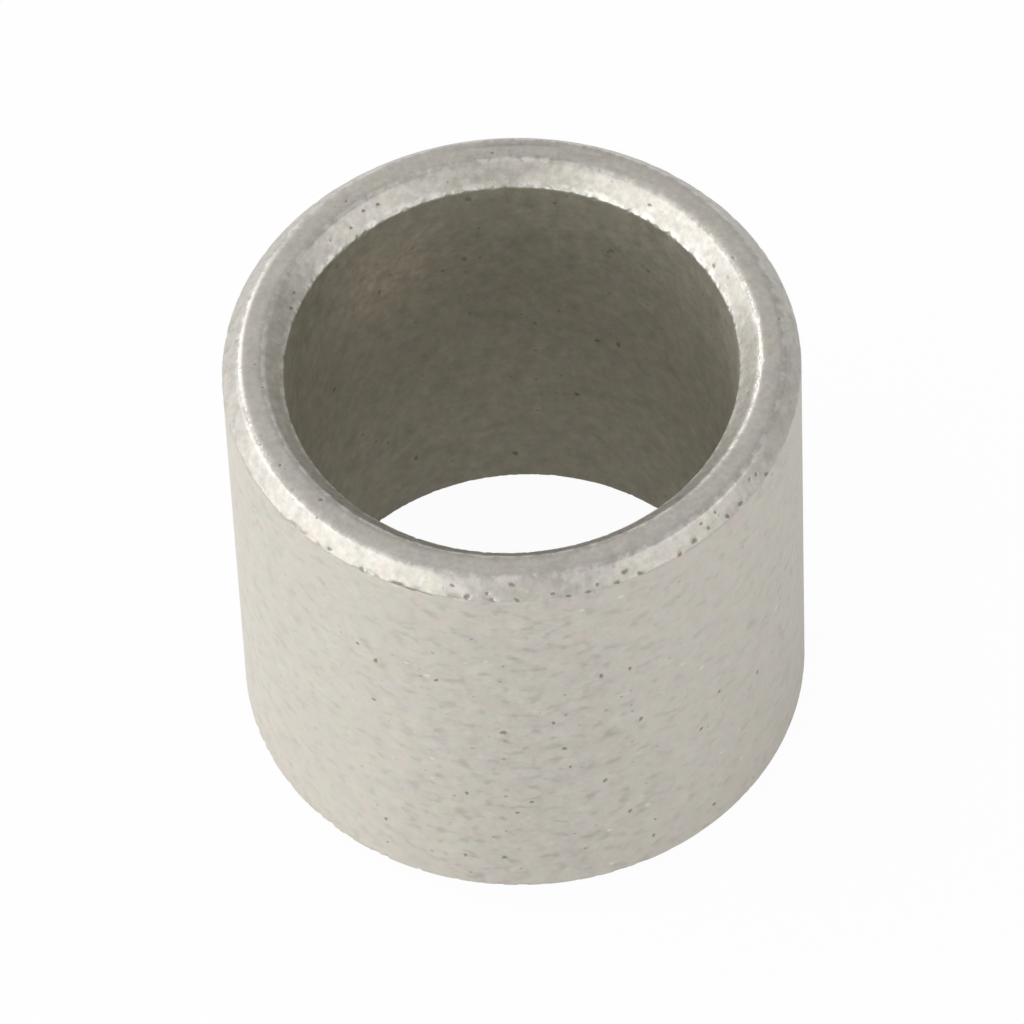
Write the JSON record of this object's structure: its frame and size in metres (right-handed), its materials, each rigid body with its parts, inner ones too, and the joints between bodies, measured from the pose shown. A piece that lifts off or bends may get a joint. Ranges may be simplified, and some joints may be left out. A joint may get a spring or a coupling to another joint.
{
  "type": "pivot bushing",
  "caption": "Plain cylindrical pivot bushing of pale grey sintered iron: a short thick-walled sleeve with a through bore and lead-in chamfers inside and out at both ends.",
  "frame": {"origin": "centre of the lower end face, on the bore's axis", "axes": "+Z along the bore, upwards from the lower end; +X and +Y are any two directions square to it"},
  "size_m": [0.0222, 0.0222, 0.0206],
  "materials": {
    "sintered_iron": "satin"
  },
  "bodies": {
    "root": {"bushing": "sintered_iron"}
  },
  "joints": []
}
